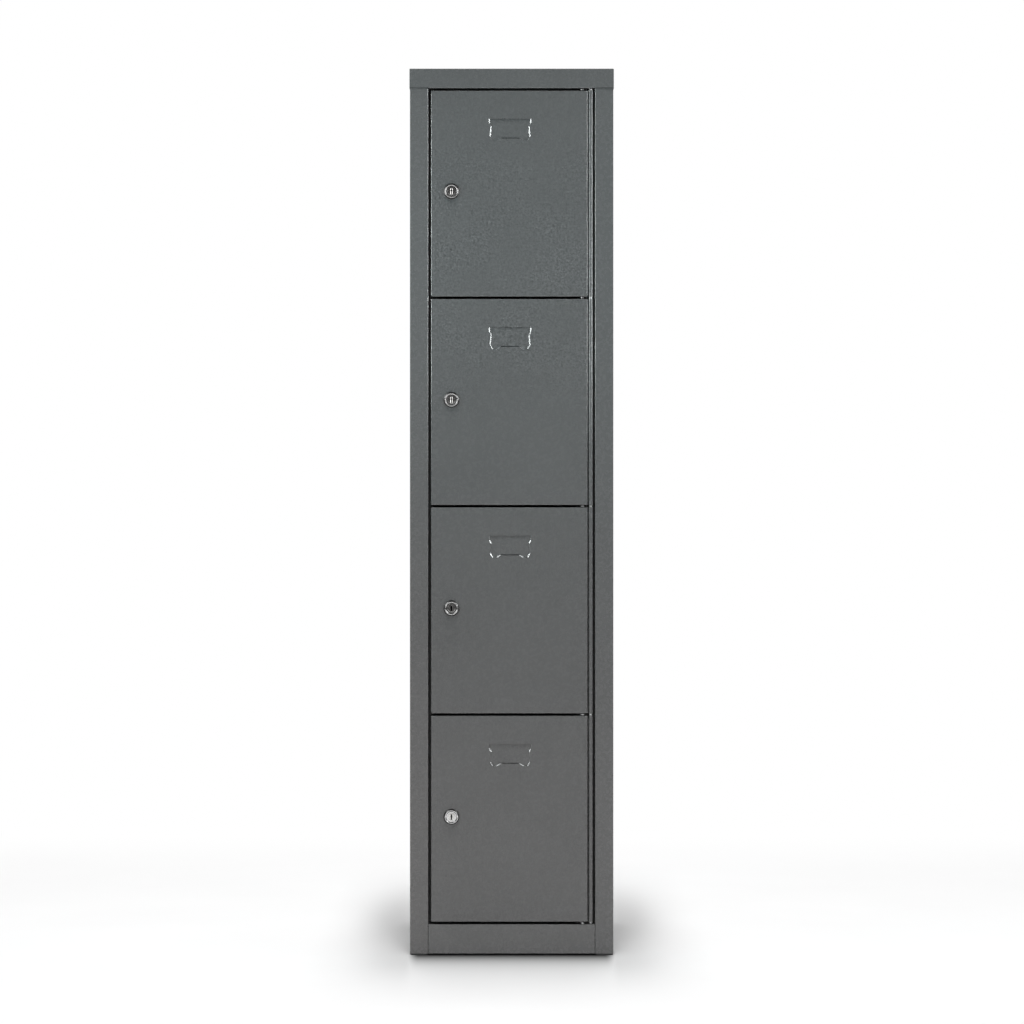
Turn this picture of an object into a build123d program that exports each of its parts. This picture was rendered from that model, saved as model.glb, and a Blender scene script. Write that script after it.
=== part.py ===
from build123d import *
import os
from math import tan, sqrt, pi, cos, sin, atan2

# ---------------------------------------------------------------------------
# Steel locker cabinet: one column, four doors one over the other.
# Frame: +Z up, front faces -Y, +X to the right seen from the front.
# Origin on the floor, in the middle of the footprint.  Millimetres.
# ---------------------------------------------------------------------------

# --- overall -----------------------------------------------------------------
H = 1800.0            # floor to the top of the cap
W_CAP = 415.0         # over the cap
D_CAP = 500.0         # cap, front face to rear face
T = 1.0               # sheet thickness, carcass and doors
W_BODY = W_CAP - 2 * T
D_BODY = D_CAP - 2 * T
LOCK_PROUD = 5.0      # lock bezel in front of the door face
RIVET_HEAD = 1.2      # dome height of a blind rivet
RIVET_R = 1.6         # 3.2 mm blind rivets
RIVET_HOLE = 1.63
# the footprint is centred on everything that stands proud, front and rear
YF = (LOCK_PROUD - (T + RIVET_HEAD) - D_BODY) / 2   # front face of stiles and doors
YB = YF + D_BODY                                    # outer face of the back panel

# --- carcass -------------------------------------------------------------------
FOOT_H = 3.0          # daylight under the sheet
CAP_DROP = 39.5       # height of the cap's front flange
CAP_LIP = 14.0        # lip under the cap's front flange, between the stiles
STILE = 37.2          # width of the front stile
RETURN = 20.0         # depth of the stile's return
STOP = 15.0           # width of the stop flange behind the door edge
REAR_FLANGE = 22.0    # flange that carries the back panel
BEND = 1.5            # bend radius on the centre line of the sheet
PAN_SET = 22.0        # front edge of the shelves behind the front face
PAN_FLANGE = 20.0     # flange height of shelves, floor and top panel
PAN_LIP = 10.0        # lip on the shelf's front flange
RAIL_TOP = 62.5       # upper edge of the base rail
RAIL_DEPTH = 18.0

# --- doors -----------------------------------------------------------------------
N_DOORS = 4
GAP_H = 5.0           # gap above, between and below the doors
DOOR_L = -163.7       # left edge of the door
PIVOT_X = 160.7       # hinge axis
ROLL_R = 4.3          # outside radius of the rolled hinge edge
GROOVE = 2.2          # groove between the door face and the rolled edge
DOOR_DEPTH = 18.0
DOOR_LIP = 12.0
DOOR_R = 2.0          # outside radius of the door's folds
PIVOT_Y = YF + ROLL_R + 0.1
OPEN_Z0 = RAIL_TOP
OPEN_Z1 = H - CAP_DROP
DOOR_H = (OPEN_Z1 - OPEN_Z0 - (N_DOORS + 1) * GAP_H) / N_DOORS
PITCH = DOOR_H + GAP_H
DOOR_R_EDGE = PIVOT_X - ROLL_R - GROOVE    # right edge of the door's face

# --- card holder pressed into each door -------------------------------------------
CARD_X = -3.2         # centre line
CARD_DROP = 57.5      # upper line below the door's upper edge
CARD_W = 86.0
CARD_H = 45.0
CARD_DEEP = 1.7       # recess below the face
CARD_TAB = 1.0        # the lower tab keeps the sheet's thickness
CARD_SLOPE = (2.0, 1.6)   # drawn sides of the recess: width and depth of the slope
CARD_SLIT = 1.4       # lanced slit above the tab
CARD_LANCE = 0.3      # lanced line under the upper edge

# --- locks ------------------------------------------------------------------------
LOCK_X = -122.2
LOCK_DROP = 204.7     # below the door's upper edge
BEZEL_R = 16.0
BARREL_R = 10.9
LIP_R = 12.6          # crest of the bezel: steep outside, a recess round the plug inside
PLUG_R = 8.0
KEY_W, KEY_H = 2.6, 10.6   # key slot, with a bevelled mouth
CAM_LEN = 46.0
CAM_FRONT = 23.4      # cam's front face behind the door face

# --- hinges -----------------------------------------------------------------------
PLATE_T = 2.0
PLATE_L = 134.0       # left edge of the hinge plate
PLATE_TAB = (141.0, 152.5)   # tongue that comes forward beside the knuckle
PLATE_BACK = 9.0      # the rest of the plate's front edge, behind the front face
NOSE_R = 3.0          # eye round the pin
PIN_R = 2.0
PIN_IN = 12.0         # pin length inside a door
BUSH_R = ROLL_R - T - 0.01
BUSH_BORE = 2.06
BUSH_FLANGE = 1.2
BUSH_FLANGE_R = 3.6

os.makedirs("parts", exist_ok=True)


def save(shape, name):
    shape.label = name
    export_step(shape, "parts/" + name + ".step")


def whole(solid):
    return Part() + solid


def box(x0, x1, y0, y1, z0, z1):
    return Pos((x0 + x1) / 2, (y0 + y1) / 2, (z0 + z1) / 2) * Box(x1 - x0, y1 - y0, z1 - z0)


def rbox(x0, x1, y0, y1, z0, z1, r):
    b = box(x0, x1, y0, y1, z0, z1)
    return fillet(b.edges(), r)


def strip(points, t, r):
    """Closed section of a bent sheet of thickness t, from its centre line in XY."""
    pts = [Vector(p[0], p[1], 0) for p in points]
    n = len(pts)
    left, right = [], []

    def norm(d):
        return Vector(-d.Y, d.X, 0)

    prev_l = prev_r = None
    for i in range(n - 1):
        d = (pts[i + 1] - pts[i]).normalized()
        nl = norm(d)
        a, b = pts[i], pts[i + 1]
        if i > 0:
            u = (pts[i] - pts[i - 1]).normalized()
            turn = u.X * d.Y - u.Y * d.X
            ang = atan2(turn, u.X * d.X + u.Y * d.Y)
            back = r * tan(abs(ang) / 2)
            a = pts[i] + d * back
        if i < n - 2:
            v = (pts[i + 2] - pts[i + 1]).normalized()
            ang2 = atan2(d.X * v.Y - d.Y * v.X, d.X * v.X + d.Y * v.Y)
            b = pts[i + 1] - d * (r * tan(abs(ang2) / 2))
        al, bl = a + nl * (t / 2), b + nl * (t / 2)
        ar, br = a - nl * (t / 2), b - nl * (t / 2)
        if i > 0:
            side = 1 if turn > 0 else -1
            start = pts[i] - u * back
            c = start + norm(u) * (side * r)
            mid = ((pts[i] - c).normalized())
            left.append(Edge.make_three_point_arc(prev_l, c + mid * (r - side * t / 2), al))
            right.append(Edge.make_three_point_arc(prev_r, c + mid * (r + side * t / 2), ar))
        left.append(Edge.make_line(al, bl))
        right.append(Edge.make_line(ar, br))
        if i == 0:
            start_l, start_r = al, ar
        prev_l, prev_r = bl, br
    edges = left + [Edge.make_line(prev_l, prev_r)] + right + [Edge.make_line(start_r, start_l)]
    return Face(Wire(edges))


def rise(face, z0, z1):
    return Pos(0, 0, z0) * whole(Solid.extrude(face, Vector(0, 0, z1 - z0)))


def prism_y(points, y0, y1):
    """Prism along Y from (x, z) points."""
    w = Wire([Edge.make_line(Vector(*a), Vector(*b)) for a, b in
              zip([(p[0], y0, p[1]) for p in points],
                  [(p[0], y0, p[1]) for p in points[1:] + points[:1]])])
    return whole(Solid.extrude(Face(w), Vector(0, y1 - y0, 0)))


def cyl_y(x, z, y0, y1, r):
    return Pos(x, (y0 + y1) / 2, z) * (Rot(90, 0, 0) * Cylinder(r, y1 - y0))


def cyl_z(x, y, z0, z1, r):
    return Pos(x, y, (z0 + z1) / 2) * Cylinder(r, z1 - z0)


def turned(profile):
    """Solid of revolution about local Z from (r, h) points; a third entry bulges the run into an arc."""
    edges = []
    m = len(profile)
    for i in range(m):
        p, q = profile[i], profile[(i + 1) % m]
        a, b = Vector(p[0], 0, p[1]), Vector(q[0], 0, q[1])
        if len(p) > 2:
            edges.append(Edge.make_three_point_arc(a, Vector(p[2][0], 0, p[2][1]), b))
        else:
            edges.append(Edge.make_line(a, b))
    return whole(Solid.revolve(Face(Wire(edges)), 360, Axis.Z))


def rivet(grip):
    """Blind rivet, dome up along local +Z, its head seated at z = 0, gripping downwards."""
    head_r, tail_r, tail_h = 4.0, 2.4, 1.0
    # faceted dome with the dimple that the broken mandrel leaves
    return turned([
        (0, RIVET_HEAD - 0.5), (1.0, RIVET_HEAD - 0.5), (1.0, RIVET_HEAD), (2.2, 1.0), (3.3, 0.55), (head_r, 0.15), (head_r, 0.0),
        (RIVET_R, 0.0), (RIVET_R, -grip), (tail_r, -grip), (tail_r * 0.9, -grip - tail_h), (0, -grip - tail_h),
    ])


# ---------------------------------------------------------------------------
# Levels
# ---------------------------------------------------------------------------
gap_z = [OPEN_Z1 - GAP_H / 2 - i * PITCH for i in range(N_DOORS + 1)]   # centre of each gap, top first
door_top = [OPEN_Z1 - GAP_H - i * PITCH for i in range(N_DOORS)]
door_bot = [z - DOOR_H for z in door_top]
lock_z = [z - LOCK_DROP for z in door_top]

SIDE_TOP = H - 15.0                 # the side panels end inside the cap's flanges
BACK_TOP = H - T - 0.8              # the back panel ends just under the cap
HALF = W_BODY / 2
IN_X = HALF - T                     # inner face of the side panels
OPEN_X = HALF - STILE               # edge of the door opening
PAN_X = IN_X - 0.1
PAN_Y0 = YF + PAN_SET
PAN_Y1 = YB - 2 * T - 0.2

# ---------------------------------------------------------------------------
# Rivet places
# ---------------------------------------------------------------------------
plate_rivets = [(144.0, YF + 31.0), (144.0, YF + 47.0)]
back_rivet_z = [90.0 + k * (1730.0 - 90.0) / 7 for k in range(8)]
back_rivets = [(s * (HALF - 11.5), z) for s in (-1, 1) for z in back_rivet_z]
cap_rivet_x = [-150.0, 0.0, 150.0]
CAP_RIVET_Z = H - 20.0
WALL_HOLE_R = 4.5
WALL_HOLE_X = 120.0
WALL_HOLE_Z = 1690.0
buffer_z = [z for k in range(N_DOORS) for z in (door_top[k] - 45.0, door_bot[k] + 45.0)]
BUFFER_X = -(OPEN_X - 8.5)

# ---------------------------------------------------------------------------
# Side panels: wall, front stile, return and stop flange, rear flange
# ---------------------------------------------------------------------------
def side_profile(s):
    pts = [
        (-HALF + REAR_FLANGE, YB - T - T / 2),
        (-HALF + T / 2, YB - T - T / 2),
        (-HALF + T / 2, YF + T / 2),
        (-OPEN_X - T / 2, YF + T / 2),
        (-OPEN_X - T / 2, YF + RETURN + T / 2),
        (-OPEN_X + STOP, YF + RETURN + T / 2),
    ]
    return [(s * -1 * p[0], p[1]) if s > 0 else p for p in pts]


left_side = rise(strip(side_profile(-1), T, BEND), FOOT_H, SIDE_TOP)
right_side = rise(strip(side_profile(1), T, BEND), FOOT_H, SIDE_TOP)
for (x, z) in back_rivets:
    hole = cyl_y(x, z, YB - 4, YB + 2, RIVET_HOLE)
    if x < 0:
        left_side -= hole
    else:
        right_side -= hole
for z in buffer_z:
    left_side -= cyl_y(BUFFER_X, z, YF + RETURN - 1, YF + RETURN + 3, 2.05)
save(left_side, "left_side_panel")
save(right_side, "right_side_panel")

# ---------------------------------------------------------------------------
# Back panel with two wall-fixing holes
# ---------------------------------------------------------------------------
back = box(-HALF + 1.5, HALF - 1.5, YB - T, YB, FOOT_H, BACK_TOP)
for (x, z) in back_rivets:
    back -= cyl_y(x, z, YB - 4, YB + 2, RIVET_HOLE)
for x in cap_rivet_x:
    back -= cyl_y(x, CAP_RIVET_Z, YB - 4, YB + 2, RIVET_HOLE)
for x in (-WALL_HOLE_X, WALL_HOLE_X):
    back -= cyl_y(x, WALL_HOLE_Z, YB - 4, YB + 2, WALL_HOLE_R)
save(back, "back_panel")

# ---------------------------------------------------------------------------
# Top cap: folded lid over the body
# ---------------------------------------------------------------------------
CAP_Z0 = H - CAP_DROP
cap = rbox(-W_CAP / 2, W_CAP / 2, YF - T, YB + T, CAP_Z0 - 10, H, 1.6)
cap -= rbox(-HALF, HALF, YF, YB, CAP_Z0 - 20, H - T, 0.6)
cap -= box(-W_CAP, W_CAP, YF - 50, YB + 50, CAP_Z0 - 30, CAP_Z0)
lip_sec = strip([(YF - T / 2, CAP_Z0 + 8), (YF - T / 2, CAP_Z0 + T / 2), (YF - T + CAP_LIP, CAP_Z0 + T / 2)], T, BEND)
lip_w = OPEN_X - 0.4
lip = Pos(-lip_w, 0, 0) * (Plane(origin=(0, 0, 0), x_dir=(0, 1, 0), z_dir=(1, 0, 0)) * whole(Solid.extrude(lip_sec, Vector(0, 0, 2 * lip_w))))
cap -= box(-lip_w, lip_w, YF - 2 * T, YF + 5, CAP_Z0 - 5, CAP_Z0 + 8)
cap += lip
for x in cap_rivet_x:
    cap -= cyl_y(x, CAP_RIVET_Z, YB - 4, YB + 4, RIVET_HOLE)
save(cap, "top_cap")

# ---------------------------------------------------------------------------
# Shelves, floor and top panel: pans with four flanges
# ---------------------------------------------------------------------------
def pan(z_face, down=True):
    """Flat pan whose sheet lies below z_face with its flanges down, or above z_face with its flanges up."""
    if down:
        z0, z1 = z_face - T - PAN_FLANGE, z_face
    else:
        z0, z1 = z_face, z_face + T + PAN_FLANGE
    p = rbox(-PAN_X, PAN_X, PAN_Y0, PAN_Y1, z0, z1, 1.6)
    p -= rbox(-PAN_X + T, PAN_X - T, PAN_Y0 + T, PAN_Y1 - T, z0 + T, z1 - T, 0.6)
    win = (-PAN_X + T, PAN_X - T, PAN_Y0 + PAN_LIP, PAN_Y1 - T)
    if down:
        p -= box(*win, z0 - 1, z0 + 2.0)
    else:
        p -= box(*win, z1 - 2.0, z1 + 1)
    return p


def plate_holes(p, z):
    for (x, y) in plate_rivets:
        p -= cyl_z(x, y, z - 3, z + 3, RIVET_HOLE)
    return p


plate_mid = gap_z[:]
floor_face = gap_z[4] - PLATE_T / 2
top_face = gap_z[0] + PLATE_T / 2
save(plate_holes(pan(top_face, down=False), top_face), "top_panel")
for k in (1, 2, 3):
    zf = gap_z[k] - PLATE_T / 2
    save(plate_holes(pan(zf), zf), "shelf_%d" % k)
save(plate_holes(pan(floor_face), floor_face), "floor_panel")

# ---------------------------------------------------------------------------
# Base rail between the stiles
# ---------------------------------------------------------------------------
rail_x = OPEN_X - 0.15
rail = rbox(-rail_x, rail_x, YF, YF + RAIL_DEPTH, FOOT_H, RAIL_TOP, 1.6)
rail -= rbox(-rail_x + T, rail_x - T, YF + T, YF + RAIL_DEPTH - T, FOOT_H + T, RAIL_TOP - T, 0.6)
rail -= box(-rail_x + 8, rail_x - 8, YF + RAIL_DEPTH - 2, YF + RAIL_DEPTH + 1, FOOT_H + 8, RAIL_TOP - 8)
save(rail, "base_rail")

# ---------------------------------------------------------------------------
# Feet: plugs in the corners with a thin sole
# ---------------------------------------------------------------------------
def rounded_block(x0, x1, y0, y1, z0, z1, r):
    b = box(x0, x1, y0, y1, z0, z1)
    return fillet(b.edges().filter_by(Axis.Z), r)


def front_foot(s):
    sole = rounded_block(-HALF + 0.3, -OPEN_X - 0.2, YF + 0.4, YF + 21.0, 0, FOOT_H, 7.0)
    sole = fillet(sole.faces().sort_by(Axis.Z)[0].edges(), 0.8)
    plug = rounded_block(-HALF + T + 0.3, -OPEN_X - T - 0.3, YF + T + 0.3, YF + RETURN - 0.3, FOOT_H - 0.5, FOOT_H + 14, 6.0)
    f = sole + plug
    f -= box(-HALF + T + 3.3, -OPEN_X - T - 3.3, YF + T + 3.3, YF + RETURN - 3.3, FOOT_H, FOOT_H + 20)
    return f if s < 0 else mirror(f, about=Plane.YZ)


def rear_foot(s):
    sole = rounded_block(-HALF + 0.3, -HALF + REAR_FLANGE + 0.5, YB - REAR_FLANGE, YB - 0.3, 0, FOOT_H, 7.0)
    sole = fillet(sole.faces().sort_by(Axis.Z)[0].edges(), 0.8)
    plug = rounded_block(-HALF + T + 0.3, -HALF + REAR_FLANGE - 0.5, YB - REAR_FLANGE + 0.5, YB - 2 * T - 0.3, FOOT_H - 0.5, FOOT_H + 14, 6.0)
    f = sole + plug
    f -= box(-HALF + T + 3.3, -HALF + REAR_FLANGE - 3.5, YB - REAR_FLANGE + 3.5, YB - 2 * T - 3.3, FOOT_H, FOOT_H + 20)
    return f if s < 0 else mirror(f, about=Plane.YZ)


save(Compound(children=[front_foot(-1), front_foot(1), rear_foot(-1), rear_foot(1)]), "corner_feet")

# ---------------------------------------------------------------------------
# Hinge plates, pins and rivets
# ---------------------------------------------------------------------------
plate_names = ["hinge_plate_top", "hinge_plate_upper", "hinge_plate_middle", "hinge_plate_lower", "hinge_plate_bottom"]
PLATE_FRONT = YF + 0.6
for k, name in enumerate(plate_names):
    z0, z1 = gap_z[k] - PLATE_T / 2, gap_z[k] + PLATE_T / 2
    p = box(PLATE_L, OPEN_X - STOP - 0.6, YF + PLATE_BACK, YF + 56, z0, z1)
    p = fillet(p.edges().filter_by(Axis.Z).sort_by(Axis.Y)[-2:], 5.0)
    tab = box(PLATE_TAB[0], PLATE_TAB[1], PLATE_FRONT, YF + PLATE_BACK + 3, z0, z1)
    tab = fillet(tab.edges().filter_by(Axis.Z).sort_by(Axis.Y)[:2], 1.2)
    reach = box(PLATE_TAB[1] - 1, PIVOT_X + NOSE_R, YF + PLATE_BACK, YF + PLATE_BACK + 8, z0, z1)
    nose = cyl_z(PIVOT_X, PIVOT_Y, z0, z1, NOSE_R)
    arm = box(PIVOT_X - NOSE_R, PIVOT_X + NOSE_R, PIVOT_Y, YF + PLATE_BACK + 1, z0, z1)
    p = p + tab + reach + nose + arm
    p -= cyl_z(PIVOT_X, PIVOT_Y, z0 - 1, z1 + 1, PIN_R + 0.02)
    for (x, y) in plate_rivets:
        p -= cyl_z(x, y, z0 - 1, z1 + 1, RIVET_HOLE)
    save(p, name)

pins = []
for k in range(N_DOORS + 1):
    lo = gap_z[k] - (PLATE_T / 2 if k == N_DOORS else GAP_H / 2 + PIN_IN)
    hi = gap_z[k] + (PLATE_T / 2 if k == 0 else GAP_H / 2 + PIN_IN)
    pin = cyl_z(PIVOT_X, PIVOT_Y, lo, hi, PIN_R)
    ends = [e for e in pin.edges().filter_by(GeomType.CIRCLE)]
    pin = chamfer(ends, 0.35)
    pins.append(pin)
save(Compound(children=pins), "hinge_pins")

hinge_rivets = []
for k in range(N_DOORS + 1):
    for (x, y) in plate_rivets:
        if k == 0:
            r = Pos(x, y, gap_z[k] - PLATE_T / 2) * (Rot(180, 0, 0) * rivet(PLATE_T + T))
        else:
            r = Pos(x, y, gap_z[k] + PLATE_T / 2) * rivet(PLATE_T + T)
        hinge_rivets.append(r)
save(Compound(children=hinge_rivets), "hinge_plate_rivets")

# rivets through the back panel and through the rear of the cap, domes outside
save(Compound(children=[Pos(x, YB, z) * (Rot(-90, 0, 0) * rivet(2 * T)) for (x, z) in back_rivets]), "back_panel_rivets")
save(Compound(children=[Pos(x, YB + T, CAP_RIVET_Z) * (Rot(-90, 0, 0) * rivet(2 * T)) for x in cap_rivet_x]), "cap_rivets")

# ---------------------------------------------------------------------------
# Rubber buffers on the left stop flange
# ---------------------------------------------------------------------------
buffers = []
for z in buffer_z:
    b = turned([
        (0, 1.7), (1.5, 1.6), (2.9, 1.25), (3.9, 0.8), (4.4, 0.4), (4.4, 0.0),
        (2.0, 0.0), (2.0, -T), (2.7, -T), (1.6, -T - 1.6), (0, -T - 1.6),
    ])
    buffers.append(Pos(BUFFER_X, YF + RETURN, z) * (Rot(90, 0, 0) * b))
save(Compound(children=buffers), "door_buffers")

# ---------------------------------------------------------------------------
# Doors
# ---------------------------------------------------------------------------
CARD_HALF = CARD_W / 2
CARD_TAB_X, CARD_TAB_Z = 17.8, -39.6
# outline on the door face, anticlockwise from the upper left; the flag marks the sides drawn to a slope
card_left = [
    (-CARD_HALF, 0.0, 1), (-CARD_HALF, -9.5, 1), (-CARD_HALF + 3.5, -15.5, 1), (-CARD_HALF + 1.7, -36.0, 1),
    (-CARD_HALF + 6.3, -44.0, 0), (-25.2, -44.0, 1), (-CARD_TAB_X, CARD_TAB_Z, 0),
]
card_outline = [(p[0], p[1]) for p in card_left] + [(-p[0], p[1]) for p in reversed(card_left)]
card_slopes = [p[2] for p in card_left] + [p[2] for p in reversed(card_left[:-1])] + [0]


def inset(points, dist):
    """Anticlockwise polygon with its edge i moved inwards by dist[i]."""
    m = len(points)
    lines = []
    for i in range(m):
        (x0, z0), (x1, z1) = points[i], points[(i + 1) % m]
        run = sqrt((x1 - x0) ** 2 + (z1 - z0) ** 2)
        dx, dz = (x1 - x0) / run, (z1 - z0) / run
        lines.append((x0 - dz * dist[i], z0 + dx * dist[i], dx, dz))
    out = []
    for i in range(m):
        ax, az, adx, adz = lines[i - 1]
        bx, bz, bdx, bdz = lines[i]
        t = ((bx - ax) * bdz - (bz - az) * bdx) / (adx * bdz - adz * bdx)
        out.append((ax + adx * t, az + adz * t))
    return out


def ring_y(points, y):
    pts = [Vector(p[0], y, p[1]) for p in points]
    return Wire([Edge.make_line(p, q) for p, q in zip(pts, pts[1:] + pts[:1])])


def card_recess(ct):
    """Recess of the card holder under the level ct: sloped sides, flat floor."""
    here = [(CARD_X + p[0], ct + p[1]) for p in card_outline]
    wide, deep = CARD_SLOPE
    over = 0.5
    outer = inset(here, [-over * wide / deep * f for f in card_slopes])
    floor = inset(here, [wide * f for f in card_slopes])
    c = whole(Solid.make_loft([ring_y(outer, YF - over), ring_y(floor, YF + deep)], ruled=True))
    return c + prism_y(floor, YF + deep - 0.2, YF + CARD_DEEP)


def door(k):
    z0, z1 = door_bot[k], door_top[k]
    d = rbox(DOOR_L, DOOR_R_EDGE, YF, YF + DOOR_DEPTH, z0, z1, DOOR_R)
    d -= rbox(DOOR_L + T, DOOR_R_EDGE - T, YF + T, YF + DOOR_DEPTH - T, z0 + T, z1 - T, DOOR_R - T)
    # open rear with a lip on three sides; the hinge side stays shallow
    d -= box(DOOR_L + DOOR_LIP, DOOR_R_EDGE - DOOR_LIP, YF + DOOR_DEPTH - 3, YF + DOOR_DEPTH + 1, z0 + DOOR_LIP, z1 - DOOR_LIP)
    web = 2 * ROLL_R + 0.1
    d -= box(DOOR_R_EDGE - DOOR_LIP - 1, DOOR_R_EDGE + 1, YF + web, YF + DOOR_DEPTH + 1, z0 - 1, z1 + 1)
    # rolled hinge edge
    rc = ROLL_R - T / 2
    yc = PIVOT_Y + rc
    web_face = strip([(DOOR_R_EDGE - T / 2, YF + 4.0), (DOOR_R_EDGE - T / 2, yc), (PIVOT_X, yc)], T, 1.2)
    d += rise(web_face, z0, z1)
    ring = Face(Wire([Edge.make_circle(ROLL_R)])) - Face(Wire([Edge.make_circle(ROLL_R - T)]))
    s0, s1 = ROLL_R - T - 0.9, ROLL_R - T - 0.05
    slit = Face(Wire([Edge.make_line(Vector(*a), Vector(*b)) for a, b in [
        ((-6, s0, 0), (-1.2, s0, 0)), ((-1.2, s0, 0), (-1.2, s1, 0)), ((-1.2, s1, 0), (-6, s1, 0)), ((-6, s1, 0), (-6, s0, 0))]]))
    roll = Solid.extrude((ring - slit).face(), Vector(0, 0, z1 - z0))
    d += Pos(PIVOT_X, PIVOT_Y, z0) * whole(roll)
    # card holder
    ct = z1 - CARD_DROP
    dish = rbox(CARD_X - CARD_HALF - 2, CARD_X + CARD_HALF + 2, YF + T - 1.3, YF + CARD_DEEP + T, ct - CARD_H - 1.0, ct + 1.0, 0.9)
    dish -= box(CARD_X - 100, CARD_X + 100, YF - 5, YF + T - 0.3, ct - 100, ct + 50)
    d += dish
    d -= card_recess(ct)
    d -= box(CARD_X - CARD_TAB_X, CARD_X + CARD_TAB_X, YF + CARD_TAB, YF + CARD_DEEP, ct - 43.5, ct + CARD_TAB_Z + 1)
    d -= box(CARD_X - CARD_TAB_X, CARD_X + CARD_TAB_X, YF + CARD_TAB, YF + 4, ct + CARD_TAB_Z, ct + CARD_TAB_Z + CARD_SLIT)
    d -= box(CARD_X - 36.0, CARD_X + 36.0, YF + CARD_TAB, YF + 4, ct - CARD_LANCE, ct)
    # lock hole
    d -= cyl_y(LOCK_X, lock_z[k], YF - 2, YF + 3, BARREL_R + 0.1)
    return d


def door_bushes(k):
    z0, z1 = door_bot[k], door_top[k]
    out = []
    for z, s in ((z0, -1), (z1, 1)):
        b = turned([
            (BUSH_BORE, -15.0), (BUSH_R, -15.0), (BUSH_R, 0.0), (BUSH_FLANGE_R, 0.0), (BUSH_FLANGE_R, BUSH_FLANGE), (BUSH_BORE, BUSH_FLANGE),
        ])
        if s < 0:
            b = Rot(180, 0, 0) * b
        out.append(Pos(PIVOT_X, PIVOT_Y, z) * b)
    return Compound(children=out)


# ---------------------------------------------------------------------------
# Locks.  Local frame: x right, y up, z out of the door, z = 0 on the door face.
# ---------------------------------------------------------------------------
def to_door(part, k):
    return Pos(LOCK_X, YF, lock_z[k]) * (Rot(90, 0, 0) * part)


lock_body = turned([
    (PLUG_R + 0.05, -CAM_FRONT + 0.4), (BARREL_R - 0.5, -CAM_FRONT + 0.4), (BARREL_R, -CAM_FRONT + 0.9), (BARREL_R, 0.0),
    (BEZEL_R, 0.0), (BEZEL_R, LOCK_PROUD - 4.29),
    (LIP_R + 1.102, LOCK_PROUD - 0.611, (LIP_R, LOCK_PROUD)), (LIP_R - 0.996, LOCK_PROUD - 0.464),
    (LIP_R - 2.62, 2.6), (PLUG_R + 0.05, 2.6),
])

plug = turned([
    (0, -CAM_FRONT + 0.1), (PLUG_R, -CAM_FRONT + 0.1), (PLUG_R, 3.0, (PLUG_R - 0.18, 3.42)), (PLUG_R - 0.6, 3.6), (0, 3.6),
])
plug += Pos(0, 0, -CAM_FRONT - 1.2) * Box(8.0, 8.0, 2.8)
plug -= Pos(0, -0.4, 3.6 - 6.0) * Box(KEY_W, KEY_H, 12.0)
plug -= Pos(0, 1.2, 3.6 - 6.0) * Cylinder(2.0, 12.0)
mouth = []
for w, h, z in ((KEY_W + 2.2, KEY_H + 1.8, 3.6 + 0.2), (KEY_W, KEY_H, 3.6 - 0.6)):
    pts = [Vector(a * w / 2, b * h / 2 - 0.4, z) for a, b in ((-1, -1), (1, -1), (1, 1), (-1, 1))]
    mouth.append(Wire([Edge.make_line(p, q) for p, q in zip(pts, pts[1:] + pts[:1])]))
plug -= whole(Solid.make_loft(mouth, ruled=True))
plug -= Pos(0, 0, -CAM_FRONT - 2.6 + 7.0) * Cylinder(2.5, 14.0)

cam_h0, cam_h1 = -CAM_FRONT - 2.5, -CAM_FRONT
cam = Pos(0, 0, (cam_h0 + cam_h1) / 2) * Cylinder(9.5, 2.5)
bar = Pos(CAM_LEN / 2, 0, (cam_h0 + cam_h1) / 2) * Box(CAM_LEN, 16.0, 2.5)
bar = fillet(bar.edges().filter_by(Axis.Z).sort_by(Axis.X)[-2:], 5.0)
cam = cam + bar
cam -= Pos(0, 0, (cam_h0 + cam_h1) / 2) * Box(8.2, 8.2, 6.0)
cam = chamfer(cam.faces().sort_by(Axis.Z)[-1].outer_wire().edges(), 0.3)

head_z = -CAM_FRONT - 2.65
screw = Pos(0, 0, head_z - 0.5) * Cylinder(6.0, 1.0)
hexa = extrude(RegularPolygon(radius=4.62, side_count=6), amount=-3.5)
screw += Pos(0, 0, head_z - 1.0) * hexa
screw += Pos(0, 0, head_z + 5.6) * Cylinder(2.45, 11.3)

nut = extrude(RegularPolygon(radius=15.5, side_count=6), amount=-5.0)
nut = Pos(0, 0, -T - 0.1) * nut
cone = turned([(0, -T + 2), (18.0, -T + 2), (18.0, -T - 1.6), (13.6, -T - 0.1), (0, -T - 0.1)])
cone2 = turned([(0, -T - 7), (18.0, -T - 7), (18.0, -T - 3.6), (13.6, -T - 5.1), (0, -T - 5.1)])
nut = nut - cone - cone2
nut -= Pos(0, 0, -5) * Cylinder(BARREL_R + 0.05, 20)

for k in range(N_DOORS):
    n = k + 1
    save(door(k), "door_%d" % n)
    save(door_bushes(k), "door_bushes_%d" % n)
    save(to_door(lock_body, k), "lock_housing_%d" % n)
    save(to_door(plug, k), "lock_plug_%d" % n)
    save(to_door(cam, k), "lock_cam_%d" % n)
    save(to_door(screw, k), "cam_screw_%d" % n)
    save(to_door(nut, k), "lock_nut_%d" % n)

print("YF", YF, "YB", YB, "pivot", PIVOT_X, PIVOT_Y, "lock", LOCK_X, lock_z)
print("gaps", gap_z, "doors", door_bot, door_top, "door_h", DOOR_H)
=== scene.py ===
import math

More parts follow.
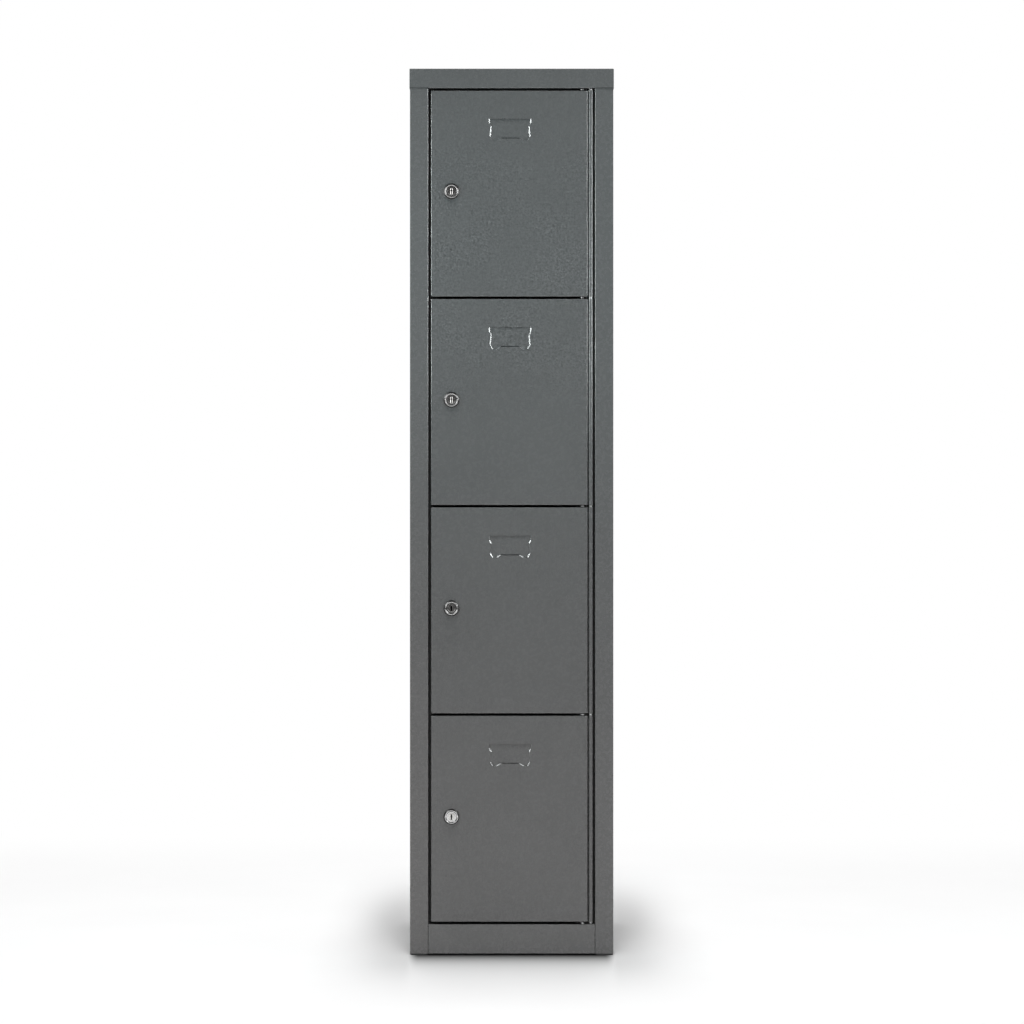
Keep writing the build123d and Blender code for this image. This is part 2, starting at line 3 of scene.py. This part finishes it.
import bpy
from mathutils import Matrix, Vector

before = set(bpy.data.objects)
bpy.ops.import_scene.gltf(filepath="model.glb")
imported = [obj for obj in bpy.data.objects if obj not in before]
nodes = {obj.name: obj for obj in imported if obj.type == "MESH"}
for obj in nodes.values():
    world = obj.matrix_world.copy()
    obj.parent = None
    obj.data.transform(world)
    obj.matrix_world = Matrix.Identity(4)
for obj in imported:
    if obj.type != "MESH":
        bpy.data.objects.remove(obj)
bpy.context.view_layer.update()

# ---------------------------------------------------------------------------
# Places on the locker, in metres (front faces -Y)
# ---------------------------------------------------------------------------
FRONT_Y = -0.2476
BACK_Y = 0.2504
LOCK_X = -0.1222
LOCK_Z = {1: 1.5508, 2: 1.12755, 3: 0.7043, 4: 0.28105}

FOOT_SHADE = (0.085, 1.2, 0.98)   # painted shadow on the floor along the bottom of the doors: reach in metres, shape, amount
SIDE_SHADE = (0.050, 0.045, 0.25) # and beside the body: distance of the darkest line, its width, amount
APRON = (0.020, 0.050, 0.18)      # and at the front corners: reach, width, amount
INNER_SHADE = 0.2          # painted shade: tone of the coat inside the gaps, against the outside

# ---------------------------------------------------------------------------
# Studio
# ---------------------------------------------------------------------------
ROOM, BACKDROP = 0.08, 0.25                # radiance in front of and behind the locker
SIDE_X = 1.05                              # strip boxes, left and right, just in front of the doors
SIDE_LOW, SIDE_HIGH = 1.15, 2.0
GLOSS_Y0, GLOSS_Y1 = -0.80, -0.20
SIDE_GLOSS = 46.0                          # what the strips show in reflections
DOWN_GLOSS, STEEP_GLOSS = 32.0, 17.0       # lamps that graze down over the lower doors
SIDE_SPREAD = math.radians(60.0)           # they shine across the doors and not past them
FILL_Y0, FILL_Y1 = -1.20, -0.40
SIDE_FILL = {-1: 3.4, 1: 2.2}              # what they add to the matt part of a surface, left and right
SIDE_TINT = (0.68, 1.0, 1.05)
FILL_SPREAD = math.radians(90.0)           # and they leave the floor alone
TOP_Z = 12.0                               # long strip high overhead, running front to back
TOP_W = 1.9
TOP_Y0, TOP_Y1 = -6.0, 3.5
TOP_RADIANCE = 28.0
LOCK_GLOSS, LOCK_TOP = 3.4, 4.0            # the strips as the locks show them
HINGE_GLOSS = 10.0                         # and as the hinges do
BACK_FILL = 3.0                            # on the back panel alone


# ---------------------------------------------------------------------------
# Small helpers for node materials
# ---------------------------------------------------------------------------
class Shader:
    def __init__(self, name):
        self.mat = bpy.data.materials.new(name)
        self.mat.use_nodes = True
        self.tree = self.mat.node_tree
        self.tree.nodes.clear()
        self.out = self.add("ShaderNodeOutputMaterial")
        self.bsdf = self.add("ShaderNodeBsdfPrincipled")
        self.link(self.bsdf.outputs[0], self.out.inputs[0])
        place = self.add("ShaderNodeTexCoord")
        self.coords, self.facing = place.outputs["Object"], place.outputs["Normal"]

    def add(self, kind):
        return self.tree.nodes.new(kind)

    def link(self, a, b):
        self.tree.links.new(a, b)

    def put(self, socket, value):
        """A link if value is a socket, else a constant."""
        if isinstance(value, bpy.types.NodeSocket):
            self.link(value, socket)
        else:
            socket.default_value = value

    def moved(self, offset=(0, 0, 0), scale=(1, 1, 1), turn=(0, 0, 0)):
        m = self.add("ShaderNodeMapping")
        self.link(self.coords, m.inputs["Vector"])
        m.inputs["Location"].default_value = offset
        m.inputs["Rotation"].default_value = turn
        m.inputs["Scale"].default_value = scale
        return m.outputs[0]

    def noise(self, scale, detail=2.0, rough=0.5, distort=0.0, at=None):
        n = self.add("ShaderNodeTexNoise")
        self.link(at or self.coords, n.inputs["Vector"])
        n.inputs["Scale"].default_value = scale
        n.inputs["Detail"].default_value = detail
        n.inputs["Roughness"].default_value = rough
        n.inputs["Distortion"].default_value = distort
        return n.outputs[0]

    def cells(self, scale, smooth=0.6, at=None, feature="SMOOTH_F1"):
        v = self.add("ShaderNodeTexVoronoi")
        v.feature = feature
        self.link(at or self.coords, v.inputs["Vector"])
        v.inputs["Scale"].default_value = scale
        if "Smoothness" in v.inputs and feature == "SMOOTH_F1":
            v.inputs["Smoothness"].default_value = smooth
        return v.outputs["Distance"]

    def pimples(self, scale, size, few=0.15, many=0.75, at=None):
        """Scattered round grains: a share of the cells carries one, in loose clusters."""
        v = self.add("ShaderNodeTexVoronoi")
        v.feature = "F1"
        self.link(at or self.coords, v.inputs["Vector"])
        v.inputs["Scale"].default_value = scale
        pick = self.add("ShaderNodeSeparateColor")
        self.link(v.outputs["Color"], pick.inputs[0])
        crowd = self.remap(self.noise(14.0, 2.0, 0.5), 0.42, 0.62, few, many)
        there = self.math("LESS_THAN", pick.outputs[0], crowd)
        return self.math("MULTIPLY", there, self.remap(v.outputs["Distance"], 0.0, size, 1.0, 0.0, smooth=True))

    def math(self, op, a, b=0.0, clamp=False):
        m = self.add("ShaderNodeMath")
        m.operation = op
        m.use_clamp = clamp
        self.put(m.inputs[0], a)
        self.put(m.inputs[1], b)
        return m.outputs[0]

    def remap(self, value, a0, a1, b0, b1, smooth=False):
        m = self.add("ShaderNodeMapRange")
        m.interpolation_type = "SMOOTHSTEP" if smooth else "LINEAR"
        m.clamp = True
        self.put(m.inputs["Value"], value)
        m.inputs["From Min"].default_value = a0
        m.inputs["From Max"].default_value = a1
        m.inputs["To Min"].default_value = b0
        m.inputs["To Max"].default_value = b1
        return m.outputs[0]

    def ramp(self, value, *stops):
        r = self.add("ShaderNodeValToRGB")
        self.link(value, r.inputs[0])
        e = r.color_ramp.elements
        while len(e) < len(stops):
            e.new(0.5)
        for el, (pos, col) in zip(e, stops):
            el.position = pos
            el.color = (*col, 1.0)
        return r.outputs[0]

    def mix(self, fac, a, b, blend="MIX"):
        m = self.add("ShaderNodeMix")
        m.data_type = "RGBA"
        m.blend_type = blend
        self.put(m.inputs[0], fac)
        self.put(m.inputs[6], a if isinstance(a, bpy.types.NodeSocket) else (*a, 1.0))
        self.put(m.inputs[7], b if isinstance(b, bpy.types.NodeSocket) else (*b, 1.0))
        return m.outputs[2]

    def bump(self, height, strength, distance, normal=None):
        b = self.add("ShaderNodeBump")
        b.inputs["Strength"].default_value = strength
        b.inputs["Distance"].default_value = distance
        self.link(height, b.inputs["Height"])
        if normal is not None:
            self.link(normal, b.inputs["Normal"])
        return b.outputs[0]

    def axes(self):
        s = self.add("ShaderNodeSeparateXYZ")
        self.link(self.coords, s.inputs[0])
        return s.outputs[0], s.outputs[1], s.outputs[2]

    def axis_distance(self, x0, z0):
        """Distance from a line along Y through (x0, z0)."""
        x, y, z = self.axes()
        dx = self.math("SUBTRACT", x, x0)
        dz = self.math("SUBTRACT", z, z0)
        return self.math("SQRT", self.math("ADD", self.math("MULTIPLY", dx, dx), self.math("MULTIPLY", dz, dz)))


# ---------------------------------------------------------------------------
# Grey hammer-textured powder coat
# ---------------------------------------------------------------------------
def behind_front(s):
    """1 on what lies just behind the front face: returns, lips and flanges round the gaps, where the coat gets painted
    shade.
    """
    y = s.axes()[1]
    near = s.remap(y, FRONT_Y + 0.0030, FRONT_Y + 0.0058, 0.0, 1.0, smooth=True)
    return s.math("MULTIPLY", near, s.remap(y, FRONT_Y + 0.026, FRONT_Y + 0.045, 1.0, 0.0, smooth=True))


def side_inside(s):
    # painted shade on the inner faces behind the front, in the gaps
    inner = s.remap(s.math("ABSOLUTE", s.axes()[0]), 0.2059, 0.2063, 1.0, 0.0)
    return s.math("MULTIPLY", inner, behind_front(s))


def cap_inside(s):
    """Painted shade on the lip under the cap, and a painted shadow line on the raw lower edge where the cap sits on the
    stiles.
    """
    x, y, z = s.axes()
    under = s.math("MULTIPLY", s.remap(z, 1.7608, 1.7614, 1.0, 0.0), behind_front(s))
    # painted shadow: a dark line along the cap's lower edge over the stiles
    edge = s.math("MULTIPLY", s.remap(z, 1.7608, 1.7620, 1.0, 0.0), s.remap(s.math("ABSOLUTE", x), 0.1690, 0.1696, 0.0, 1.0))
    return s.math("MAXIMUM", under, edge)


def facing_back(s):
    """1 on the inner side of a door and the outer side of the back panel."""
    n = s.add("ShaderNodeSeparateXYZ")
    s.link(s.facing, n.inputs[0])
    return s.remap(n.outputs[1], 0.4, 0.7, 0.0, 1.0)


def grain_and_painted_glints(s, colour, dark, light):
    """Coarser grain on the two upper doors, thicker in places, made strong there as painted light where side light
    rakes the coat; with a few small painted glints, each with a painted shadow just below it.
    """
    z = s.axes()[2]
    where = s.math("MULTIPLY", s.remap(z, 1.58, 1.70, 1.0, 0.25, smooth=True), s.remap(z, 1.02, 1.25, 0.0, 1.0, smooth=True))
    crowd = s.math("MULTIPLY", where, s.remap(s.noise(14.0, 2.0, 0.5), 0.40, 0.62, 0.6, 1.3))
    swing = s.math("MULTIPLY", s.math("SUBTRACT", s.noise(GRAIN[0], 2.0, 0.6), 0.5), s.math("MULTIPLY", crowd, GRAIN[1]))
    colour = s.mix(1.0, colour, s.math("ADD", swing, 1.0), "MULTIPLY")
    # painted shadow just below each painted glint, then the painted glint
    painted_shadow = s.pimples(PAINTED_GLINTS[0], PAINTED_GLINTS[1], *PAINTED_GLINTS[2], at=s.moved(offset=(0.0005, 0.0, 0.0020)))
    colour = s.mix(s.math("MULTIPLY", where, painted_shadow), colour, tuple(c * PAINTED_GLINTS[3] for c in dark))
    painted_glint = s.pimples(PAINTED_GLINTS[0], PAINTED_GLINTS[1], *PAINTED_GLINTS[2])
    return s.mix(s.math("MULTIPLY", where, painted_glint), colour, tuple(c * PAINTED_GLINTS[4] for c in light))


def grey_coat(name, dark, light, inside, rough=(0.25, 0.29), coarse=False):
    s = Shader(name)
    shade_mask = inside(s)                              # painted shade: darker, duller coat inside the gaps and on the returns, lips and flanges behind the front
    fine = s.noise(420.0, 3.0, 0.55)                # grain of the coat, 2 to 3 mm
    hammer = s.cells(300.0, 0.7)                    # dimples, about 3 mm
    mottle = s.noise(75.0, 2.0, 0.5, 0.3)           # cloudy patches, about 12 mm
    broad = s.noise(7.0, 2.0, 0.5)                  # slow drift across a panel
    tone = s.math("ADD", s.math("MULTIPLY", fine, 0.36), s.math("MULTIPLY", mottle, 0.28))
    tone = s.math("ADD", tone, s.math("MULTIPLY", broad, 0.36))
    colour = s.ramp(tone, (0.34, dark), (0.66, light))
    if coarse:
        colour = grain_and_painted_glints(s, colour, dark, light)
    shaded_coat = s.ramp(tone, (0.34, tuple(c * INNER_SHADE for c in dark)), (0.66, tuple(c * INNER_SHADE for c in light)))
    s.link(s.mix(shade_mask, colour, shaded_coat), s.bsdf.inputs["Base Color"])
    sheen = s.remap(s.noise(160.0, 2.0, 0.6), 0.3, 0.7, rough[0], rough[1])
    dull = s.math("MAXIMUM", s.math("MULTIPLY", shade_mask, 0.25), s.math("MULTIPLY", facing_back(s), 0.6))
    s.link(s.math("ADD", sheen, dull), s.bsdf.inputs["Roughness"])
    s.bsdf.inputs["Metallic"].default_value = 0.0
    s.bsdf.inputs["IOR"].default_value = 1.55
    n = s.bump(s.noise(5.0, 1.0, 0.5), 0.2, 0.0010)
    n = s.bump(hammer, 0.10, 0.0004, n)
    n = s.bump(s.noise(900.0, 2.0, 0.6), 0.12, 0.0001, n)
    n = s.bump(s.pimples(130.0, 0.13), 0.6, 0.0003, n)
    s.link(n, s.bsdf.inputs["Normal"])
    return s.mat


# ---------------------------------------------------------------------------
# Chrome of a lock, turned about the lock's own axis
# ---------------------------------------------------------------------------
def lock_chrome(name, k, plug):
    s = Shader(name)
    r = s.axis_distance(LOCK_X, LOCK_Z[k])
    here = s.moved(offset=(-LOCK_X, -FRONT_Y, -LOCK_Z[k]), turn=(0, 0.7 * k, 0))
    rings = s.math("SINE", s.math("MULTIPLY", r, 2 * math.pi / 0.00045))
    cloud = s.noise(260.0, 3.0, 0.6, at=here)
    blotch = s.noise(700.0, 4.0, 0.65, 0.4, at=here)
    if plug:
        base = s.ramp(cloud, (0.35, (0.56, 0.55, 0.53)), (0.65, (0.74, 0.74, 0.73)))
        # painted shade: the inside of the key slot is made near black
        slot_shade = s.remap(s.axes()[1], FRONT_Y - 0.0029, FRONT_Y - 0.0022, 0.0, 1.0)
        base = s.mix(slot_shade, base, (0.012, 0.012, 0.011))
        rough = s.math("ADD", s.remap(blotch, 0.3, 0.7, 0.08, 0.16), s.math("MULTIPLY", slot_shade, 0.5))
    else:
        base = s.ramp(cloud, (0.35, (0.66, 0.66, 0.66)), (0.65, (0.80, 0.80, 0.80)))
        ring_shade = s.remap(r, 0.0132, 0.0138, 0.0, 1.0)     # painted shade and painted dark reflection outside the crest of the bezel, dulled as well
        base = s.mix(ring_shade, base, s.ramp(blotch, (0.3, (0.06, 0.06, 0.058)), (0.7, (0.10, 0.10, 0.098))))
        rough = s.math("ADD", s.remap(blotch, 0.3, 0.7, 0.05, 0.12), s.math("MULTIPLY", ring_shade, 0.38))
    s.link(base, s.bsdf.inputs["Base Color"])
    s.link(rough, s.bsdf.inputs["Roughness"])
    s.bsdf.inputs["Metallic"].default_value = 1.0
    n = s.bump(rings, 0.10, 0.00003)
    n = s.bump(s.noise(2400.0, 2.0, 0.6, at=here), 0.15, 0.00003, n)
    s.link(n, s.bsdf.inputs["Normal"])
    return s.mat


UNSHADED_BANDS = ((0.1318, 0.0012), (0.1434, 0.0026), (0.1603, 0.0018))     # places along the hinge plates kept free of the painted shade, and half their width


def zinc(name, shade_painted=False):
    s = Shader(name)
    cloud = s.noise(120.0, 3.0, 0.6)
    spangle = s.cells(380.0, feature="F1")
    tone = s.math("ADD", s.math("MULTIPLY", cloud, 0.7), s.math("MULTIPLY", spangle, 0.3))
    colour = s.ramp(tone, (0.25, (0.52, 0.53, 0.54)), (0.5, (0.66, 0.67, 0.68)), (0.7, (0.74, 0.74, 0.72)))
    if shade_painted:                                       # painted shade: near black over the plates, left off in three bands along x where the zinc shows
        x = s.axes()[0]
        unshaded = 0.0
        for middle, half in UNSHADED_BANDS:
            unshaded = s.math("MAXIMUM", s.remap(s.math("ABSOLUTE", s.math("SUBTRACT", x, middle)), half, half + 0.0012, 1.0, 0.0), unshaded)
        colour = s.mix(unshaded, (0.03, 0.03, 0.029), colour)
    s.link(colour, s.bsdf.inputs["Base Color"])
    s.link(s.remap(s.noise(300.0, 2.0, 0.6), 0.3, 0.7, 0.28, 0.46), s.bsdf.inputs["Roughness"])
    s.bsdf.inputs["Metallic"].default_value = 1.0
    s.link(s.bump(s.noise(1500.0, 2.0, 0.6), 0.2, 0.00005), s.bsdf.inputs["Normal"])
    return s.mat


def aluminium(name):
    s = Shader(name)
    cloud = s.noise(500.0, 3.0, 0.6)
    s.link(s.ramp(cloud, (0.3, (0.56, 0.57, 0.58)), (0.7, (0.70, 0.71, 0.72))), s.bsdf.inputs["Base Color"])
    s.link(s.remap(s.noise(900.0, 2.0, 0.6), 0.3, 0.7, 0.30, 0.48), s.bsdf.inputs["Roughness"])
    s.bsdf.inputs["Metallic"].default_value = 1.0
    s.link(s.bump(s.noise(2500.0, 2.0, 0.6), 0.25, 0.00004), s.bsdf.inputs["Normal"])
    return s.mat


def plastic(name, dark, light, rough, grain, depth):
    s = Shader(name)
    cloud = s.noise(180.0, 3.0, 0.6)
    s.link(s.ramp(cloud, (0.3, dark), (0.7, light)), s.bsdf.inputs["Base Color"])
    s.link(s.remap(s.noise(600.0, 2.0, 0.6), 0.3, 0.7, rough[0], rough[1]), s.bsdf.inputs["Roughness"])
    s.bsdf.inputs["IOR"].default_value = 1.49
    s.link(s.bump(s.noise(grain, 3.0, 0.6), 0.35, depth), s.bsdf.inputs["Normal"])
    return s.mat


# The left side panel and the base rail take lighter copies of the coat: painted light that lifts their tone. The doors
# take a slightly darker copy.
COAT = ((0.157, 0.157, 0.157), (0.176, 0.176, 0.176))
DOOR_COAT = ((0.1505, 0.1505, 0.1505), (0.168, 0.168, 0.168))
LEFT_COAT_LIT = ((0.165, 0.1625, 0.162), (0.185, 0.182, 0.181))
RAIL_COAT_LIT = ((0.166, 0.166, 0.166), (0.186, 0.186, 0.186))
GRAIN = (230.0, 1.6)                             # fineness and swing of tone
PAINTED_GLINTS = (175.0, 0.42, (0.03, 0.28), 0.62, 1.6)   # fineness, size, share, tone of the painted shadow and of the painted glint
door_coat = grey_coat("grey_coat_front", *DOOR_COAT, behind_front, coarse=True)
side_coat = grey_coat("grey_coat_side", *COAT, side_inside)
left_coat_lit = grey_coat("grey_coat_left_lit", *LEFT_COAT_LIT, side_inside)
rail_coat_lit = grey_coat("grey_coat_rail_lit", *RAIL_COAT_LIT, side_inside)
cap_coat = grey_coat("grey_coat_cap", *COAT, cap_inside)
inner_coat = grey_coat("grey_coat_inner", *COAT, behind_front)
zinc_mat = zinc("zinc_plate_clouded")
hinge_mat = zinc("zinc_plate_painted_shade", shade_painted=True)
alu_mat = aluminium("rivet_aluminium_dull")
nylon_mat = plastic("nylon_natural", (0.26, 0.26, 0.25), (0.34, 0.34, 0.32), (0.36, 0.50), 1400.0, 0.00004)
rubber_mat = plastic("buffer_rubber_black", (0.016, 0.016, 0.017), (0.030, 0.030, 0.031), (0.62, 0.80), 1800.0, 0.00008)
foot_mat = plastic("foot_plastic_black", (0.020, 0.020, 0.021), (0.036, 0.036, 0.037), (0.42, 0.58), 1200.0, 0.00008)
housing_mats = {k: lock_chrome("lock_chrome_bezel_%d" % k, k, False) for k in LOCK_Z}
plug_mats = {k: lock_chrome("lock_chrome_plug_%d" % k, k, True) for k in LOCK_Z}


def finish_of(name):
    if name.startswith("lock_housing_"):
        return housing_mats[int(name[-1])]
    if name.startswith("lock_plug_"):
        return plug_mats[int(name[-1])]
    if name.startswith(("lock_cam_", "cam_screw_", "lock_nut_")):
        return zinc_mat
    if name.startswith("hinge_"):
        return hinge_mat
    if name in ("back_panel_rivets", "cap_rivets"):
        return alu_mat
    if name.startswith("door_bushes_"):
        return nylon_mat
    if name == "door_buffers":
        return rubber_mat
    if name == "corner_feet":
        return foot_mat
    if name == "left_side_panel":
        return left_coat_lit
    if name == "base_rail":
        return rail_coat_lit
    if name in ("right_side_panel", "back_panel"):
        return side_coat
    if name == "top_cap":
        return cap_coat
    if name in ("top_panel", "floor_panel") or name.startswith("shelf_"):
        return inner_coat
    return door_coat


for name, ob in nodes.items():
    for slot in ob.material_slots:
        slot.material = finish_of(name)

# ---------------------------------------------------------------------------
# Floor: a pale sheet that fades into the white backdrop, with a painted shadow round the bottom of the locker
# ---------------------------------------------------------------------------
me = bpy.data.meshes.new("floor")
me.from_pydata([(-4.5, -6.0, 0), (4.5, -6.0, 0), (4.5, 2.6, 0), (-4.5, 2.6, 0)], [], [(0, 1, 2, 3)])
floor = bpy.data.objects.new("floor", me)
bpy.context.scene.collection.objects.link(floor)
fs = Shader("floor_pale")
pale = fs.ramp(fs.noise(3.0, 3.0, 0.5), (0.3, (0.890, 0.890, 0.890)), (0.7, (0.904, 0.904, 0.904)))
fx, fy, fz = fs.axes()
aside = fs.math("ABSOLUTE", fx)
ahead = fs.math("MAXIMUM", fs.math("SUBTRACT", FRONT_Y, fy), 0.0)
ahead = fs.math("POWER", fs.math("MULTIPLY", ahead, 1.0 / FOOT_SHADE[0]), FOOT_SHADE[1])
painted_shadow = fs.math("POWER", 2.718, fs.math("MULTIPLY", ahead, -1.0))
painted_shadow = fs.math("MULTIPLY", painted_shadow, fs.remap(aside, 0.188, 0.218, FOOT_SHADE[2], 0.0, smooth=True))
painted_shadow = fs.math("MULTIPLY", painted_shadow, fs.remap(fy, 0.0, 0.2, 1.0, 0.0, smooth=True))
off = fs.math("MULTIPLY", fs.math("SUBTRACT", aside, 0.2065 + SIDE_SHADE[0]), 1.0 / SIDE_SHADE[1])
beside = fs.math("POWER", 2.718, fs.math("MULTIPLY", fs.math("MULTIPLY", off, off), -0.5))
beside = fs.math("MULTIPLY", beside, fs.remap(fy, -0.20, 0.30, 0.0, SIDE_SHADE[2], smooth=True))
beside = fs.math("MULTIPLY", beside, fs.remap(fy, 0.25, 1.00, 1.0, 0.0, smooth=True))
past = fs.math("MULTIPLY", fs.math("MAXIMUM", fs.math("SUBTRACT", aside, 0.2065 + APRON[0]), 0.0), 1.0 / APRON[1])
along = fs.math("ADD", fy, 0.30)
along = fs.math("MAXIMUM", fs.math("MULTIPLY", along, 1.0 / 0.25), fs.math("MULTIPLY", along, -1.0 / 0.17))
apron = fs.math("ADD", fs.math("MULTIPLY", past, past), fs.math("MULTIPLY", along, along))
apron = fs.math("POWER", 2.718, fs.math("MULTIPLY", apron, -0.5))
apron = fs.math("MULTIPLY", apron, fs.remap(aside, 0.185, 0.215, 0.0, APRON[2], smooth=True))
# painted shadow on the floor in front of, beside and at the front corners of the locker, seen by camera rays only
painted_shadow = fs.math("MAXIMUM", painted_shadow, fs.math("ADD", beside, apron))
painted_shadow = fs.math("MULTIPLY", painted_shadow, fs.add("ShaderNodeLightPath").outputs["Is Camera Ray"])
fs.link(fs.mix(painted_shadow, pale, (0.02, 0.02, 0.02)), fs.bsdf.inputs["Base Color"])
white = fs.add("ShaderNodeEmission")
white.inputs["Color"].default_value = (1.0, 1.0, 1.0, 1.0)
white.inputs["Strength"].default_value = 1.0
sweep = fs.add("ShaderNodeMixShader")
fade = fs.math("MAXIMUM", fs.remap(fy, 0.8, 2.0, 0.0, 1.0, smooth=True), fs.remap(fy, -2.8, -1.4, 1.0, 0.0, smooth=True))
fade = fs.math("MAXIMUM", fade, fs.remap(aside, 1.5, 3.0, 0.0, 1.0, smooth=True))
fs.link(fade, sweep.inputs[0])
fs.link(fs.bsdf.outputs[0], sweep.inputs[1])
fs.link(white.outputs[0], sweep.inputs[2])
fs.link(sweep.outputs[0], fs.out.inputs[0])
fs.bsdf.inputs["Roughness"].default_value = 0.9
fs.bsdf.inputs["Specular IOR Level"].default_value = 0.1
me.materials.append(fs.mat)

# ---------------------------------------------------------------------------
# Light: a white backdrop behind, a dim room in front, two tall strip boxes
# beside the doors and a long strip high overhead
# ---------------------------------------------------------------------------
scene = bpy.context.scene
scene.view_settings.view_transform = "Standard"
scene.view_settings.look = "None"
scene.view_settings.exposure = 0.0
scene.view_settings.gamma = 1.0

world = bpy.data.worlds.new("studio")
scene.world = world
world.use_nodes = True
wt = world.node_tree
wt.nodes.clear()


def wn(kind):
    return wt.nodes.new(kind)


w_out = wn("ShaderNodeOutputWorld")
w_co = wn("ShaderNodeTexCoord")
w_sep = wn("ShaderNodeSeparateXYZ")
wt.links.new(w_co.outputs["Generated"], w_sep.inputs[0])
w_map = wn("ShaderNodeMapRange")
w_map.interpolation_type = "SMOOTHSTEP"
w_map.inputs["From Min"].default_value = -0.15
w_map.inputs["From Max"].default_value = 0.45
w_map.inputs["To Min"].default_value = ROOM
w_map.inputs["To Max"].default_value = BACKDROP
wt.links.new(w_sep.outputs[1], w_map.inputs["Value"])
w_light = wn("ShaderNodeBackground")
w_light.inputs["Color"].default_value = (1.0, 1.0, 1.0, 1.0)
wt.links.new(w_map.outputs[0], w_light.inputs["Strength"])
w_seen = wn("ShaderNodeBackground")
w_seen.inputs["Color"].default_value = (1.0, 1.0, 1.0, 1.0)
w_seen.inputs["Strength"].default_value = 1.0
w_path = wn("ShaderNodeLightPath")
w_mix = wn("ShaderNodeMixShader")
wt.links.new(w_path.outputs["Is Camera Ray"], w_mix.inputs[0])
wt.links.new(w_light.outputs[0], w_mix.inputs[1])
wt.links.new(w_seen.outputs[0], w_mix.inputs[2])
wt.links.new(w_mix.outputs[0], w_out.inputs[0])


def panel(name, at, aim, width, height, radiance, colour=(1, 1, 1), matt=True, gloss=True, spread=math.pi):
    """Soft box whose face shines with the given radiance on matt or glossy surfaces, or both."""
    d = bpy.data.lights.new(name, "AREA")
    d.shape = "RECTANGLE"
    d.size, d.size_y = width, height
    d.energy = radiance * math.pi * width * height
    if spread < math.pi:
        d.spread = spread
        d.energy *= 1 - (spread / 2) / math.tan(spread / 2)     # keeps the radiance along the axis
    d.color = colour
    o = bpy.data.objects.new(name, d)
    o.location = at
    o.rotation_euler = (Vector(aim) - Vector(at)).to_track_quat("-Z", "Y").to_euler()
    o.visible_camera = False
    o.visible_diffuse = matt
    o.visible_glossy = gloss
    scene.collection.objects.link(o)
    return o


def linked(tag, names, state="INCLUDE"):
    """Collection of nodes that a light reaches, or that it leaves out."""
    c = bpy.data.collections.new(tag)
    for name in names:
        c.objects.link(nodes[name])
    for member in c.collection_objects:
        member.light_linking.link_state = state
    return c


# the polished locks get strips of their own, so that they don't flare, and no strip glares on the flat side that it faces
locks = [n for n in nodes if n.startswith(("lock_", "cam_screw_"))]
hinges = [n for n in nodes if n.startswith("hinge_")]
only_locks, only_hinges = linked("only_locks", locks), linked("only_hinges", hinges)
spared = {tag: linked("spared_" + tag, locks + ["top_cap", tag + "_side_panel"], "EXCLUDE") for tag in ("left", "right")}
spared_more = {tag: linked("spared_more_" + tag, locks + hinges + ["top_cap", tag + "_side_panel"], "EXCLUDE") for tag in ("left", "right")}

zc, tall = (SIDE_LOW + SIDE_HIGH) / 2, SIDE_HIGH - SIDE_LOW
for side, tag in ((-1, "left"), (1, "right")):
    yg, yf = (GLOSS_Y0 + GLOSS_Y1) / 2, (FILL_Y0 + FILL_Y1) / 2
    strips = [
        panel("strip_gloss_" + tag, (side * SIDE_X, yg, zc), (0.0, yg, zc), GLOSS_Y1 - GLOSS_Y0, tall, SIDE_GLOSS, (0.96, 1.0, 1.0),
              matt=False, spread=SIDE_SPREAD),
        panel("strip_down_" + tag, (side * SIDE_X, -0.50, 1.42), (0.0, -0.25, 0.79), 0.5, 0.9, DOWN_GLOSS, (0.96, 1.0, 1.0),
              matt=False, spread=math.radians(44.0)),
        panel("strip_steep_" + tag, (side * SIDE_X, -0.60, 2.10), (0.0, -0.25, 0.56), 0.5, 0.7, STEEP_GLOSS, (0.96, 1.0, 1.0),
              matt=False, spread=math.radians(44.0)),
    ]
    strips[0].light_linking.receiver_collection = spared_more[tag]
    for o in strips[1:]:
        o.light_linking.receiver_collection = spared[tag]
    o = panel("strip_lock_" + tag, (side * SIDE_X, yg, 1.72), (0.0, yg, 1.72), GLOSS_Y1 - GLOSS_Y0, 1.25, LOCK_GLOSS, matt=False)
    o.light_linking.receiver_collection = only_locks
    o = panel("strip_hinge_" + tag, (side * SIDE_X, yg, zc), (0.0, yg, zc), GLOSS_Y1 - GLOSS_Y0, tall, HINGE_GLOSS, matt=False)
    o.light_linking.receiver_collection = only_hinges
    panel("strip_fill_" + tag, (side * SIDE_X, yf, zc), (0.0, FRONT_Y, 1.42), FILL_Y1 - FILL_Y0, tall, SIDE_FILL[side], SIDE_TINT, gloss=False,
          spread=FILL_SPREAD)
yt = (TOP_Y0 + TOP_Y1) / 2
panel("overhead_strip", (0.0, yt, TOP_Z), (0.0, yt, 0.0), TOP_W, TOP_Y1 - TOP_Y0, TOP_RADIANCE, gloss=False)
o = panel("back_fill", (0.0, 3.5, 2.2), (0.0, BACK_Y, 1.0), 2.0, 2.0, BACK_FILL, gloss=False)
o.light_linking.receiver_collection = linked("behind", ["back_panel", "top_cap"])
o = panel("overhead_lock", (0.0, yt, TOP_Z), (0.0, yt, 0.0), TOP_W, TOP_Y1 - TOP_Y0, LOCK_TOP, matt=False)
o.light_linking.receiver_collection = only_locks

# ---------------------------------------------------------------------------
# Camera: square on to the doors, long lens
# ---------------------------------------------------------------------------
DIST = 6.0
FIELD = 2.0792        # width of the picture at the front face
cd = bpy.data.cameras.new("camera")
cd.sensor_fit = "HORIZONTAL"
cd.sensor_width = 36.0
cd.lens = 36.0 * DIST / FIELD
cd.clip_start, cd.clip_end = 0.1, 200.0
cam = bpy.data.objects.new("camera", cd)
cam.location = (0.0007, FRONT_Y - DIST, 0.8997)
cam.rotation_euler = (math.radians(90), 0, 0)
scene.collection.objects.link(cam)
scene.camera = cam
